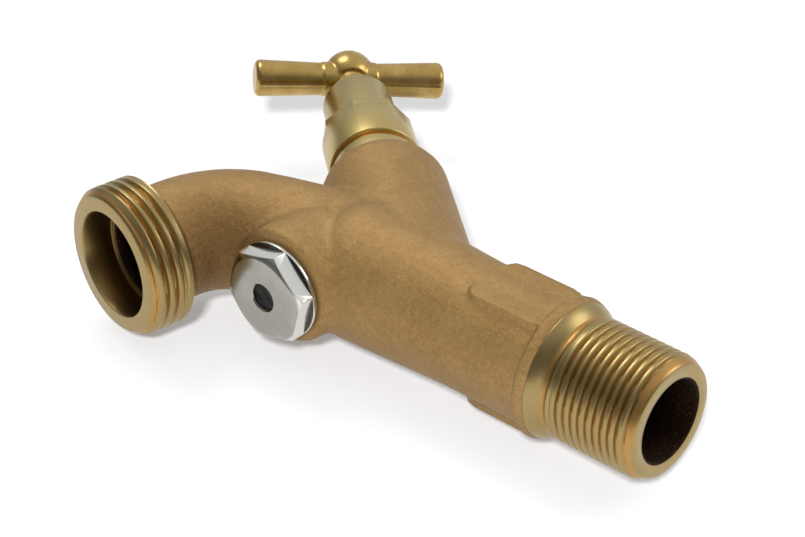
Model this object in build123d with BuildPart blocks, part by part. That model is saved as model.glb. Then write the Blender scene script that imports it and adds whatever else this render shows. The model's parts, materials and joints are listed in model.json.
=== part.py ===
from build123d import *
import os
from math import cos, radians, sin, sqrt, tan

os.makedirs("parts", exist_ok=True)

# A DN 20 bib tap with an inclined bonnet, a T-bar handle and a vacuum vent.
# Millimetres. The origin is on the inlet's axis, just inside its full thread, +X
# points out of the inlet towards the wall, +Z is up and y = 0 is the plane of symmetry.

# Inlet spigot, G 3/4 B, drawn at its major diameter
inlet_face_x = 5.0
inlet_thread_dia = 26.44
inlet_thread_len = 21.5
inlet_lead_len = 2.5
inlet_mouth_dia = 24.0
inlet_bore_dia = 17.6
thread_relief_len = 1.0
thread_relief_depth = 0.7

# Collar, spanner pads and inlet tube
collar_dia = 30.6
collar_len = 5.2
collar_foot_dia = 24.8
collar_round = 7.6
collar_step = 0.6
collar_back_slope = 0.7
tube_dia = 27.7
tube_straight_end = 45.0
pad_gap = 27.2
pad_width = 15.3
pad_start = 22.0
pad_end = 41.5
pad_corner = 3.0
belly_dia = 30.4
belly_place = 73.0

# Bonnet axis: it crosses the inlet axis here and leans over the outlet
bonnet_foot = 61.5
bonnet_lean = 51.0

# Neck of the body, heights measured along the bonnet axis from the inlet axis
neck_dia = 28.9
neck_face_height = 42.45
neck_round = 3.5
neck_thread_dia = 18.4
neck_thread_len = 9.05
chamber_dia = 23.0
web_top = 20.6
web_dia = 22.6
under_seat_dia = 15.2

# Passage from the chamber round the seat and into the spout
port_dia = 12.0
port_height = 26.7
port_reach = 23.0

# Spout
outlet_x = -116.3
outlet_z = -34.5
outlet_tilt = 10.0
spout_straight = 16.9
spout_bend = 17.6
spout_turn = 61.7
spout_upper_len = 26.0
spout_bore_len = 19.5
spout_dia_outlet = 25.6
spout_dia_body = 26.6
spout_bore_dia = 19.6

# Outlet thread, G 1 B, drawn at its major diameter
outlet_thread_dia = 33.25
outlet_thread_len = 10.6
outlet_mouth_dia = 30.3
outlet_lead_len = 2.0
outlet_back_lead = 0.9
outlet_counterbore_dia = 23.46
outlet_counterbore_len = 7.5

# Seat ring pressed into the web
seat_dia = 18.8
seat_foot_height = 15.0
seat_bore_dia = 14.4
seat_lip_dia = 16.8
seat_lip_rise = 0.7
seat_lip_width = 1.0
seat_lip_flare = 0.3

# Bonnet
gasket_thick = 1.0
gasket_dia = 20.2
bonnet_dia = 20.9
bonnet_tail_len = 8.65
bonnet_barrel_len = 22.85
bonnet_groove_rise = 7.65
bonnet_groove_width = 2.0
bonnet_groove_depth = 0.8
bonnet_shoulder_chamfer = 0.3
square_len = 19.7
square_flats = 15.6
square_corner_dia = 20.4
square_turn = -4.0
square_cone_rise = 14.2
square_cone_steep = 2.3
wiper_depth = 5.0
wiper_thick = 1.5
wiper_dia = 10.4

# Spindle, with a plain cylinder for its thread
spindle_thread_dia = 11.9
spindle_thread_len = 17.9
spindle_dia = 8.0
spindle_foot_chamfer = 0.25
spindle_square = 5.6
spindle_square_len = 6.6
spindle_socket_depth = 15.0
o_ring_drop = 6.0
o_ring_pitch = 5.0
o_ring_count = 2
o_ring_thick = 1.0
o_ring_sides = 8
full_lift = 6.0
thread_runout = 0.6

# Valve plate with its loose stem, washer and nut
plate_dia = 17.2
plate_thick = 2.2
plate_hub_dia = 11.0
plate_hub_len = 5.8
plate_stem_dia = 5.6
plate_stem_len = 12.9
plate_stud_dia = 4.0
plate_stud_len = 4.4
washer_dia = 16.8
washer_thick = 2.8
cup_dia = 10.0
cup_thick = 0.6
nut_flats = 7.0
nut_thick = 2.6
clip_rise = 7.9
clip_thick = 0.8
clip_slot = 1.2
clip_dia = 6.6
clip_groove_depth = 0.5

# Handle, a T-bar cast in one with its ball
handle_gap = 4.8
ball_dia = 12.5
ball_foot_drop = 4.3
bar_len = 45.4
bar_drop = 1.5
bar_shift = -0.3
bar_hub_dia = 7.8
bar_end_dia = 8.8
bar_end_round = 1.3
bar_collar_dia = 8.6
bar_collar_len = 0.8
bar_turn = 6.0
screw_dia = 3.0
screw_head_dia = 6.0
screw_len = 8.0
screw_face_rise = 5.3
screw_slot = 0.8

# Vacuum vent under the spout
vent_x = -83.7
boss_face_z = -16.7
boss_dia = 26.2
boss_round = 1.8
vent_thread_dia = 18.0
vent_bore_top = -5.0
vent_gasket_thick = 0.5
vent_gasket_dia = 21.0
vent_flange_dia = 21.74
vent_flange_thick = 0.8
vent_hex_flats = 18.85
vent_hex_thick = 4.2
vent_hex_turn = 45.4
vent_hex_cone = 25.0
vent_hex_flat_dia = 17.8
vent_hex_cut = 1.0
vent_hole_dia = 5.94
vent_hole_chamfer = 0.3
vent_floor_thick = 3.2
vent_cavity_dia = 14.4
vent_wall_top = -8.8
vent_lip_dia = 8.6
vent_lip_bore = 7.2
vent_lip_rise = 0.4
vent_seal_dia = 11.2
vent_seal_thick = 1.2
vent_seal_bore = 4.4
vent_disc_dia = 13.2
vent_disc_thick = 1.5
vent_stem_dia = 2.8
vent_stem_top = -9.2
cage_thick = 1.6
cage_window_dia = 2.6
cage_window_circle = 9.2
cage_windows = 6
vent_spring_dia = 6.2
vent_spring_wire = 0.5
vent_spring_turns = 4.0
vent_wire_sides = 6

# Clearances
fit_gap = 0.05
shaft_gap = 0.05
rest_gap = 0.1

# Frames: local x runs across each axis and local y runs along it
lean = radians(bonnet_lean)
bonnet_up = Vector(-sin(lean), 0, cos(lean))
bonnet_across = Vector(cos(lean), 0, sin(lean))
bonnet_origin = Vector(-bonnet_foot, 0, 0)
bonnet_section = Plane(origin=bonnet_origin, x_dir=bonnet_across, z_dir=(0, -1, 0))
bonnet_axis = Axis(bonnet_origin, bonnet_up)
tilt = radians(outlet_tilt)
outlet_centre = Vector(outlet_x, 0, outlet_z)
outlet_up = Vector(sin(tilt), 0, cos(tilt))
outlet_section = Plane(origin=outlet_centre, x_dir=(cos(tilt), 0, -sin(tilt)), z_dir=(0, -1, 0))
outlet_axis = Axis(outlet_centre, outlet_up)
vent_section = Plane(origin=(vent_x, 0, 0), x_dir=(1, 0, 0), z_dir=(0, -1, 0))
vent_axis = Axis((vent_x, 0, 0), (0, 0, 1))


def across(height):
    """Plane square to the bonnet axis at a height along it."""
    return Plane(origin=bonnet_origin + bonnet_up * height, x_dir=bonnet_across, z_dir=bonnet_up)


# Heights along the bonnet axis that follow from the driving sizes, from the seat up
seat_lip_top = web_top + seat_lip_rise
washer_foot = seat_lip_top + rest_gap
plate_foot = washer_foot + washer_thick
hub_top = plate_foot + plate_hub_len
spindle_foot_height = hub_top + rest_gap
spindle_thread_top = spindle_foot_height + spindle_thread_len
clip_height = spindle_foot_height + clip_rise
plate_stem_top = spindle_foot_height + plate_stem_len
chamber_top = neck_face_height - neck_thread_len
bonnet_flange_height = neck_face_height + gasket_thick
bonnet_bottom_height = neck_face_height - bonnet_tail_len
bonnet_groove_height = bonnet_flange_height + bonnet_groove_rise
bonnet_shoulder_height = bonnet_flange_height + bonnet_barrel_len
bonnet_top_height = bonnet_shoulder_height + square_len
square_cone_height = bonnet_shoulder_height + square_cone_rise
bonnet_thread_bore_top = spindle_thread_top + full_lift + thread_runout
wiper_height = bonnet_top_height - wiper_depth
o_ring_heights = [wiper_height - o_ring_drop - place * o_ring_pitch for place in range(o_ring_count)]
ball_foot_height = bonnet_top_height + handle_gap
spindle_top_height = ball_foot_height + spindle_square_len
handle_height = ball_foot_height + ball_foot_drop
screw_face_height = handle_height + screw_face_rise
ball_centre = bonnet_origin + bonnet_up * handle_height

# Spout centre line
with BuildLine(Plane.XZ) as spout_path:
    outlet_run = PolarLine((outlet_x, outlet_z), spout_straight, direction=(sin(tilt), cos(tilt)))
    bend_run = JernArc(start=outlet_run @ 1, tangent=outlet_run % 1, radius=spout_bend, arc_size=-spout_turn)
    upper_run = PolarLine(bend_run @ 1, spout_upper_len, direction=bend_run % 1)
with BuildLine(Plane.XZ) as bore_path:
    bore_outlet = PolarLine((outlet_x, outlet_z), spout_straight, direction=(sin(tilt), cos(tilt)))
    bore_bend = JernArc(start=bore_outlet @ 1, tangent=bore_outlet % 1, radius=spout_bend, arc_size=-spout_turn)
    PolarLine(bore_bend @ 1, spout_bore_len, direction=bore_bend % 1)

# Body casting
with BuildPart() as body:
    # Inlet spigot, collar, tube and belly in one turned outline
    belly_r = belly_dia / 2
    relief_r = inlet_thread_dia / 2 - thread_relief_depth
    thread_end = inlet_face_x - inlet_thread_len
    collar_front = thread_end - collar_step
    with BuildSketch(Plane.XZ):
        with BuildLine():
            Polyline(
                (inlet_face_x, 0),
                (inlet_face_x, inlet_mouth_dia / 2),
                (inlet_face_x - inlet_lead_len, inlet_thread_dia / 2),
                (thread_end + thread_relief_len, inlet_thread_dia / 2),
                (thread_end, relief_r),
                (collar_front, relief_r),
                (collar_front, collar_foot_dia / 2),
            )
            RadiusArc(
                (collar_front, collar_foot_dia / 2),
                (collar_front - collar_len, collar_dia / 2),
                -collar_round,
            )
            Polyline(
                (collar_front - collar_len, collar_dia / 2),
                (collar_front - collar_len - collar_back_slope, tube_dia / 2),
                (-tube_straight_end, tube_dia / 2),
                (-belly_place, belly_r),
            )
            RadiusArc((-belly_place, belly_r), (-belly_place - belly_r, 0), -belly_r)
            Line((-belly_place - belly_r, 0), (inlet_face_x, 0))
        make_face()
    revolve(axis=Axis.X)
    # Neck with its rounded mouth
    with BuildSketch(bonnet_section):
        with BuildLine():
            Polyline((0, neck_face_height), (0, 0), (neck_dia / 2, 0), (neck_dia / 2, neck_face_height - neck_round))
            RadiusArc(
                (neck_dia / 2, neck_face_height - neck_round),
                (neck_dia / 2 - neck_round, neck_face_height),
                neck_round,
            )
            Line((neck_dia / 2 - neck_round, neck_face_height), (0, neck_face_height))
        make_face()
    revolve(axis=bonnet_axis)
    # Spout, slightly fuller towards the body
    with BuildSketch(Plane(origin=spout_path.line @ 0, z_dir=spout_path.line % 0)):
        Circle(spout_dia_outlet / 2)
    with BuildSketch(Plane(origin=spout_path.line @ 1, z_dir=spout_path.line % 1)):
        Circle(spout_dia_body / 2)
    sweep(path=spout_path.line, multisection=True)
    # Vent boss
    with BuildSketch(vent_section):
        with BuildLine():
            Polyline((boss_dia / 2, boss_face_z + boss_round), (boss_dia / 2, 0), (0, 0), (0, boss_face_z),
                     (boss_dia / 2 - boss_round, boss_face_z))
            RadiusArc(
                (boss_dia / 2 - boss_round, boss_face_z),
                (boss_dia / 2, boss_face_z + boss_round),
                boss_round,
            )
        make_face()
    revolve(axis=vent_axis)
    # Spanner pads on both sides of the tube
    with BuildSketch(Plane.XZ.offset(-pad_gap / 2)):
        with Locations((-(pad_start + pad_end) / 2, 0)):
            RectangleRounded(pad_end - pad_start, pad_width, pad_corner)
    extrude(amount=pad_gap)
    # Outlet thread zone
    outlet_r = outlet_thread_dia / 2
    with BuildSketch(outlet_section):
        Polygon(
            (0, 0),
            (outlet_mouth_dia / 2, 0),
            (outlet_r, outlet_lead_len),
            (outlet_r, outlet_thread_len - outlet_back_lead),
            (outlet_r - outlet_back_lead, outlet_thread_len),
            (0, outlet_thread_len),
            align=None,
        )
    revolve(axis=outlet_axis)
    # Downstream passage: chamber, port, spout bore and vent bore
    with BuildSketch(across(web_top)):
        Circle(chamber_dia / 2)
    extrude(amount=chamber_top - web_top, mode=Mode.SUBTRACT)
    with BuildSketch(across(chamber_top)):
        Circle(neck_thread_dia / 2)
    extrude(amount=neck_face_height - chamber_top, mode=Mode.SUBTRACT)
    with BuildSketch(Plane(origin=bonnet_origin + bonnet_up * port_height, z_dir=-bonnet_across)):
        Circle(port_dia / 2)
    extrude(amount=port_reach, mode=Mode.SUBTRACT)
    with BuildSketch(Plane(origin=bore_path.line @ 0, z_dir=bore_path.line % 0)):
        Circle(spout_bore_dia / 2)
    sweep(path=bore_path.line, mode=Mode.SUBTRACT)
    with BuildSketch(Plane.XY.offset(boss_face_z)):
        with Locations((vent_x, 0)):
            Circle(vent_thread_dia / 2)
    extrude(amount=vent_bore_top - boss_face_z, mode=Mode.SUBTRACT)
    with BuildSketch(outlet_section):
        with Locations((0, 0)):
            Rectangle(outlet_counterbore_dia / 2, outlet_counterbore_len, align=(Align.MIN, Align.MIN))
    revolve(axis=outlet_axis, mode=Mode.SUBTRACT)
    # Web round the seat, then the upstream passage through it
    with BuildSketch(bonnet_section):
        Rectangle(web_dia / 2, web_top, align=(Align.MIN, Align.MIN))
    revolve(axis=bonnet_axis)
    with BuildSketch(across(seat_foot_height)):
        Circle(seat_dia / 2 + fit_gap)
    extrude(amount=web_top - seat_foot_height, mode=Mode.SUBTRACT)
    with BuildSketch(across(0)):
        Circle(under_seat_dia / 2)
    extrude(amount=seat_foot_height, mode=Mode.SUBTRACT)
    with Locations(bonnet_origin):
        Sphere(inlet_bore_dia / 2, mode=Mode.SUBTRACT)
    with BuildSketch(Plane.YZ.offset(-bonnet_foot)):
        Circle(inlet_bore_dia / 2)
    extrude(amount=bonnet_foot + inlet_face_x, mode=Mode.SUBTRACT)
body.part.label = "body"
export_step(body.part, "parts/body.step")

# Seat ring with a raised lip
with BuildPart() as seat_ring:
    lip_r = seat_lip_dia / 2
    with BuildSketch(bonnet_section):
        Polygon(
            (seat_bore_dia / 2, seat_foot_height),
            (seat_dia / 2, seat_foot_height),
            (seat_dia / 2, web_top),
            (lip_r + seat_lip_flare, web_top),
            (lip_r, seat_lip_top),
            (lip_r - seat_lip_width, seat_lip_top),
            (seat_bore_dia / 2, web_top),
            align=None,
        )
    revolve(axis=bonnet_axis)
seat_ring.part.label = "seat_ring"
export_step(seat_ring.part, "parts/seat_ring.step")

# Gasket under the bonnet's flange
with BuildPart() as bonnet_gasket:
    with BuildSketch(across(neck_face_height)):
        Circle(gasket_dia / 2)
        Circle(neck_thread_dia / 2, mode=Mode.SUBTRACT)
    extrude(amount=gasket_thick)
bonnet_gasket.part.label = "bonnet_gasket"
export_step(bonnet_gasket.part, "parts/bonnet_gasket.step")

# Bonnet: threaded tail, barrel with a groove, and a square under a steep cone
with BuildPart() as bonnet:
    barrel_r = bonnet_dia / 2
    groove_r = barrel_r - bonnet_groove_depth
    with BuildSketch(bonnet_section):
        Polygon(
            (0, bonnet_bottom_height),
            (neck_thread_dia / 2 - fit_gap, bonnet_bottom_height),
            (neck_thread_dia / 2 - fit_gap, bonnet_flange_height),
            (barrel_r, bonnet_flange_height),
            (barrel_r, bonnet_groove_height - bonnet_groove_width / 2),
            (groove_r, bonnet_groove_height - bonnet_groove_width / 2),
            (groove_r, bonnet_groove_height + bonnet_groove_width / 2),
            (barrel_r, bonnet_groove_height + bonnet_groove_width / 2),
            (barrel_r, bonnet_shoulder_height - bonnet_shoulder_chamfer),
            (barrel_r - bonnet_shoulder_chamfer, bonnet_shoulder_height),
            (0, bonnet_shoulder_height),
            align=None,
        )
    revolve(axis=bonnet_axis)
    # The square has turned corners and runs out in a cone that meets its flats at one height
    with BuildSketch(across(bonnet_shoulder_height)):
        Circle(square_corner_dia / 2)
        Rectangle(square_flats, square_flats, rotation=square_turn, mode=Mode.INTERSECT)
    extrude(amount=bonnet_top_height - bonnet_shoulder_height)
    cone_foot_r = square_flats / 2 + (square_cone_height - bonnet_shoulder_height) / square_cone_steep
    cone_top_r = square_flats / 2 - (bonnet_top_height - square_cone_height) / square_cone_steep
    with BuildSketch(bonnet_section):
        Polygon(
            (cone_foot_r, bonnet_shoulder_height),
            (cone_foot_r, bonnet_top_height),
            (cone_top_r, bonnet_top_height),
            align=None,
        )
    revolve(axis=bonnet_axis, mode=Mode.SUBTRACT)
    # Bores for the spindle, its thread and the wiper ring
    with BuildSketch(bonnet_section):
        Rectangle(spindle_dia / 2 + shaft_gap, bonnet_top_height, align=(Align.MIN, Align.MIN))
        Rectangle(spindle_thread_dia / 2 + shaft_gap, bonnet_thread_bore_top, align=(Align.MIN, Align.MIN))
        with Locations((0, wiper_height)):
            Rectangle(wiper_dia / 2 + fit_gap, wiper_thick, align=(Align.MIN, Align.MIN))
    revolve(axis=bonnet_axis, mode=Mode.SUBTRACT)
bonnet.part.label = "bonnet"
export_step(bonnet.part, "parts/bonnet.step")

# Wiper ring in the bonnet's top groove
with BuildPart() as wiper_ring:
    with BuildSketch(across(wiper_height)):
        Circle(wiper_dia / 2)
        Circle(spindle_dia / 2 + shaft_gap, mode=Mode.SUBTRACT)
    extrude(amount=wiper_thick)
wiper_ring.part.label = "wiper_ring"
export_step(wiper_ring.part, "parts/wiper_ring.step")

# Rising spindle: thread, two O-ring grooves and a square for the handle
with BuildPart() as spindle:
    with BuildSketch(bonnet_section):
        with Locations((0, spindle_foot_height)):
            Rectangle(spindle_thread_dia / 2, spindle_thread_len, align=(Align.MIN, Align.MIN))
            Rectangle(spindle_dia / 2, ball_foot_height - spindle_foot_height,
                      align=(Align.MIN, Align.MIN))
        for height in o_ring_heights:
            with Locations((spindle_dia / 2, height)):
                Rectangle(o_ring_thick + fit_gap, o_ring_thick + 2 * fit_gap,
                          align=(Align.MAX, Align.CENTER), mode=Mode.SUBTRACT)
    revolve(axis=bonnet_axis)
    with BuildSketch(across(ball_foot_height)):
        Rectangle(spindle_square, spindle_square)
    extrude(amount=spindle_square_len)
    with BuildSketch(across(spindle_top_height)):
        Circle(screw_dia / 2)
    extrude(amount=-(screw_len - (screw_face_height - spindle_top_height)), mode=Mode.SUBTRACT)
    # Socket for the valve plate's stem, with room for its clip
    with BuildSketch(bonnet_section):
        with Locations((0, spindle_foot_height)):
            Rectangle(plate_stem_dia / 2 + shaft_gap, spindle_socket_depth, align=(Align.MIN, Align.MIN))
        with Locations((0, clip_height - rest_gap)):
            Rectangle(clip_dia / 2 + shaft_gap, clip_thick + 2 * rest_gap, align=(Align.MIN, Align.MIN))
    revolve(axis=bonnet_axis, mode=Mode.SUBTRACT)
    chamfer(spindle.edges().filter_by(GeomType.CIRCLE).sort_by(bonnet_axis)[0:2], spindle_foot_chamfer)
spindle.part.label = "spindle"
export_step(spindle.part, "parts/spindle.step")

# O-rings on the spindle
with BuildPart() as spindle_o_rings:
    with BuildSketch(bonnet_section):
        with Locations(*[(spindle_dia / 2 - fit_gap - o_ring_thick / 2, height) for height in o_ring_heights]):
            RegularPolygon(o_ring_thick / 2, o_ring_sides)
    revolve(axis=bonnet_axis)
spindle_o_rings.part.label = "spindle_o_rings"
export_step(spindle_o_rings.part, "parts/spindle_o_rings.step")

# Valve plate: flange, hub, stem and stud
with BuildPart() as valve_plate:
    stem_groove_r = plate_stem_dia / 2 - clip_groove_depth
    with BuildSketch(bonnet_section):
        with Locations((0, plate_foot)):
            Rectangle(plate_dia / 2, plate_thick, align=(Align.MIN, Align.MIN))
            Rectangle(plate_hub_dia / 2, plate_hub_len, align=(Align.MIN, Align.MIN))
            Rectangle(plate_stem_dia / 2, plate_stem_top - plate_foot, align=(Align.MIN, Align.MIN))
            Rectangle(plate_stud_dia / 2, washer_thick + plate_stud_len, align=(Align.MIN, Align.MAX))
        with Locations((stem_groove_r, clip_height)):
            Rectangle(clip_groove_depth, clip_thick, align=(Align.MIN, Align.MIN), mode=Mode.SUBTRACT)
    revolve(axis=bonnet_axis)
valve_plate.part.label = "valve_plate"
export_step(valve_plate.part, "parts/valve_plate.step")

# Split clip that keeps the plate on the spindle
with BuildPart() as plate_clip:
    with BuildSketch(across(clip_height)):
        Circle(clip_dia / 2)
        Circle(stem_groove_r, mode=Mode.SUBTRACT)
        with Locations((stem_groove_r, 0)):
            Rectangle(clip_dia / 2, clip_slot, mode=Mode.SUBTRACT)
    extrude(amount=clip_thick)
plate_clip.part.label = "plate_clip"
export_step(plate_clip.part, "parts/plate_clip.step")

# Rubber washer, cup washer and nut under the plate
with BuildPart() as valve_washer:
    with BuildSketch(across(washer_foot)):
        Circle(washer_dia / 2)
        Circle(plate_stud_dia / 2 + fit_gap, mode=Mode.SUBTRACT)
    extrude(amount=washer_thick)
valve_washer.part.label = "valve_washer"
export_step(valve_washer.part, "parts/valve_washer.step")

with BuildPart() as cup_washer:
    with BuildSketch(across(washer_foot)):
        Circle(cup_dia / 2)
        Circle(plate_stud_dia / 2 + fit_gap, mode=Mode.SUBTRACT)
    extrude(amount=-cup_thick)
    chamfer(cup_washer.edges().filter_by(GeomType.CIRCLE).sort_by(bonnet_axis)[0], cup_thick / 3)
cup_washer.part.label = "cup_washer"
export_step(cup_washer.part, "parts/cup_washer.step")

with BuildPart() as washer_nut:
    with BuildSketch(across(washer_foot - cup_thick)):
        RegularPolygon(nut_flats / 2, 6, major_radius=False)
        Circle(plate_stud_dia / 2 + fit_gap, mode=Mode.SUBTRACT)
    extrude(amount=-nut_thick)
washer_nut.part.label = "washer_nut"
export_step(washer_nut.part, "parts/washer_nut.step")

# Handle: a ball with a tapered bar on each side, turned a little off the plane
bar_way = bonnet_across * cos(radians(bar_turn)) + Vector(0, sin(radians(bar_turn)), 0)
bar_centre = ball_centre - bonnet_up * bar_drop + bar_way * bar_shift
bar_section = Plane(origin=bar_centre, x_dir=bar_way, z_dir=bar_way.cross(bonnet_up))
with BuildPart() as handle:
    with Locations(ball_centre):
        Sphere(ball_dia / 2)
    collar_end = sqrt((ball_dia / 2) ** 2 - (bar_collar_dia / 2 - bar_drop) ** 2) + bar_collar_len
    with BuildSketch(bar_section):
        with BuildLine():
            half = Polyline(
                (0, 0),
                (0, bar_collar_dia / 2),
                (collar_end, bar_collar_dia / 2),
                (collar_end, bar_hub_dia / 2),
                (bar_len / 2 - bar_end_round, bar_end_dia / 2),
            )
            end_round = RadiusArc(half @ 1, (bar_len / 2, bar_end_dia / 2 - bar_end_round), bar_end_round)
            Polyline(end_round @ 1, (bar_len / 2, 0), (0, 0))
        make_face()
    revolve(axis=Axis(bar_centre, bar_way))
    mirror(about=Plane(origin=bar_centre, z_dir=bar_way))
    # Flat foot on the spindle's shoulder, square socket and screw seat
    with BuildSketch(across(0)):
        Circle(ball_dia)
    extrude(amount=ball_foot_height, mode=Mode.SUBTRACT)
    with BuildSketch(across(ball_foot_height)):
        Rectangle(spindle_square + 2 * fit_gap, spindle_square + 2 * fit_gap)
    extrude(amount=spindle_square_len + fit_gap, mode=Mode.SUBTRACT)
    head_slope = (screw_head_dia - screw_dia) / 2
    with BuildSketch(bonnet_section):
        Polygon(
            (0, ball_foot_height),
            (screw_dia / 2 + fit_gap, ball_foot_height),
            (screw_dia / 2 + fit_gap, screw_face_height - head_slope),
            (screw_head_dia / 2 + fit_gap, screw_face_height),
            (screw_head_dia / 2 + fit_gap, handle_height + ball_dia),
            (0, handle_height + ball_dia),
            align=None,
        )
    revolve(axis=bonnet_axis, mode=Mode.SUBTRACT)
handle.part.label = "handle"
export_step(handle.part, "parts/handle.step")

# Countersunk screw that holds the handle
with BuildPart() as handle_screw:
    with BuildSketch(bonnet_section):
        Polygon(
            (0, screw_face_height - screw_len + 2 * rest_gap),
            (screw_dia / 2 - fit_gap, screw_face_height - screw_len + 2 * rest_gap),
            (screw_dia / 2 - fit_gap, screw_face_height - head_slope),
            (screw_head_dia / 2 - fit_gap, screw_face_height),
            (0, screw_face_height),
            align=None,
        )
    revolve(axis=bonnet_axis)
    with BuildSketch(across(screw_face_height)):
        Rectangle(screw_head_dia, screw_slot)
    extrude(amount=-screw_slot, mode=Mode.SUBTRACT)
handle_screw.part.label = "handle_screw"
export_step(handle_screw.part, "parts/handle_screw.step")

# Heights of the vent, stacked upwards from the boss face
flange_top = boss_face_z - vent_gasket_thick
hex_top = flange_top - vent_flange_thick
hex_face = hex_top - vent_hex_thick
vent_floor = hex_face + vent_floor_thick
vent_lip_top = vent_floor + vent_lip_rise
vent_seal_top = vent_lip_top + vent_seal_thick
vent_disc_top = vent_seal_top + vent_disc_thick
cage_foot = vent_wall_top - cage_thick

with BuildPart() as vent_gasket:
    with BuildSketch(Plane.XY.offset(flange_top)):
        with Locations((vent_x, 0)):
            Circle(vent_gasket_dia / 2)
            Circle(vent_thread_dia / 2, mode=Mode.SUBTRACT)
    extrude(amount=vent_gasket_thick)
vent_gasket.part.label = "vent_gasket"
export_step(vent_gasket.part, "parts/vent_gasket.step")

# Vent plug: a coned hexagon on a flange, hollow above its floor
with BuildPart() as vent_plug:
    hex_corner_r = vent_hex_flats / sqrt(3)
    cone_run = hex_corner_r + vent_hex_cut - vent_hex_flat_dia / 2
    cone_rise = cone_run * tan(radians(vent_hex_cone))
    with BuildSketch(Plane.XY.offset(hex_face)):
        with Locations((vent_x, 0)):
            RegularPolygon(hex_corner_r, 6, rotation=vent_hex_turn)
    extrude(amount=vent_hex_thick)
    with BuildSketch(vent_section):
        Polygon(
            (vent_hex_flat_dia / 2, hex_face),
            (vent_hex_flat_dia / 2 + cone_run, hex_face),
            (vent_hex_flat_dia / 2 + cone_run, hex_face + cone_rise),
            align=None,
        )
    revolve(axis=vent_axis, mode=Mode.SUBTRACT)
    with BuildSketch(Plane.XY.offset(hex_top)):
        with Locations((vent_x, 0)):
            Circle(vent_flange_dia / 2)
    extrude(amount=vent_flange_thick)
    with BuildSketch(Plane.XY.offset(flange_top)):
        with Locations((vent_x, 0)):
            Circle(vent_thread_dia / 2 - fit_gap)
    extrude(amount=vent_wall_top - flange_top)
    # Hollow, seat lip and air hole
    with BuildSketch(vent_section):
        with Locations((0, vent_floor)):
            Rectangle(vent_cavity_dia / 2, vent_wall_top - vent_floor, align=(Align.MIN, Align.MIN))
        with Locations((vent_lip_bore / 2, vent_floor)):
            Rectangle((vent_lip_dia - vent_lip_bore) / 2, vent_lip_rise, align=(Align.MIN, Align.MIN),
                      mode=Mode.SUBTRACT)
    revolve(axis=vent_axis, mode=Mode.SUBTRACT)
    with BuildSketch(vent_section):
        Polygon(
            (0, hex_face),
            (vent_hole_dia / 2 + vent_hole_chamfer, hex_face),
            (vent_hole_dia / 2, hex_face + vent_hole_chamfer),
            (vent_hole_dia / 2, vent_floor),
            (0, vent_floor),
            align=None,
        )
    revolve(axis=vent_axis, mode=Mode.SUBTRACT)
vent_plug.part.label = "vent_plug"
export_step(vent_plug.part, "parts/vent_plug.step")

with BuildPart() as vent_seal:
    with BuildSketch(Plane.XY.offset(vent_lip_top)):
        with Locations((vent_x, 0)):
            Circle(vent_seal_dia / 2)
            Circle(vent_seal_bore / 2, mode=Mode.SUBTRACT)
    extrude(amount=vent_seal_thick)
vent_seal.part.label = "vent_seal"
export_step(vent_seal.part, "parts/vent_seal.step")

# Vent disc with a spigot for its seal and a guide stem
with BuildPart() as vent_disc:
    with BuildSketch(vent_section):
        with Locations((0, vent_seal_top)):
            Rectangle(vent_disc_dia / 2, vent_disc_thick, align=(Align.MIN, Align.MIN))
            Rectangle(vent_stem_dia / 2, vent_stem_top - vent_seal_top, align=(Align.MIN, Align.MIN))
            Rectangle(vent_seal_bore / 2, vent_seal_thick, align=(Align.MIN, Align.MAX))
    revolve(axis=vent_axis)
vent_disc.part.label = "vent_disc"
export_step(vent_disc.part, "parts/vent_disc.step")

# Closing spring between the disc and the cage
with BuildPart() as vent_spring:
    wire = vent_spring_wire
    spring_height = cage_foot - vent_disc_top - 2 * fit_gap
    with BuildLine(Plane(origin=(vent_x, 0, vent_disc_top + fit_gap + wire / 2))) as coil:
        Helix((spring_height - wire) / vent_spring_turns, spring_height - wire, vent_spring_dia / 2)
    with BuildSketch(Plane(origin=coil.line @ 0, z_dir=coil.line % 0)):
        RegularPolygon(wire / 2, vent_wire_sides)
    sweep(path=coil.line, is_frenet=True)
vent_spring.part.label = "vent_spring"
export_step(vent_spring.part, "parts/vent_spring.step")

# Cage that guides the stem and holds the spring down
with BuildPart() as vent_cage:
    with BuildSketch(Plane.XY.offset(cage_foot)):
        with Locations((vent_x, 0)):
            Circle(vent_cavity_dia / 2 - fit_gap)
            Circle(vent_stem_dia / 2 + shaft_gap, mode=Mode.SUBTRACT)
            with PolarLocations(cage_window_circle / 2, cage_windows):
                Circle(cage_window_dia / 2, mode=Mode.SUBTRACT)
    extrude(amount=cage_thick)
vent_cage.part.label = "vent_cage"
export_step(vent_cage.part, "parts/vent_cage.step")
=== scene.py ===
"""Looks of a cast bib tap that lies on its side on a pale floor.

The frame holds the solids. This script adds the camera, the light, a cast skin
with soft fillets, cut pipe threads, the turned bonnet, the T-bar handle and the
vent's hexagon, and gives every other piece a finish of its own.
"""

import json
import logging
from collections.abc import Callable, Iterator
from contextlib import contextmanager
from dataclasses import dataclass
from enum import Enum
from math import cos, pi, radians, sin, sqrt, tan

import bpy
import numpy as np
from mathutils import Matrix, Vector

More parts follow.
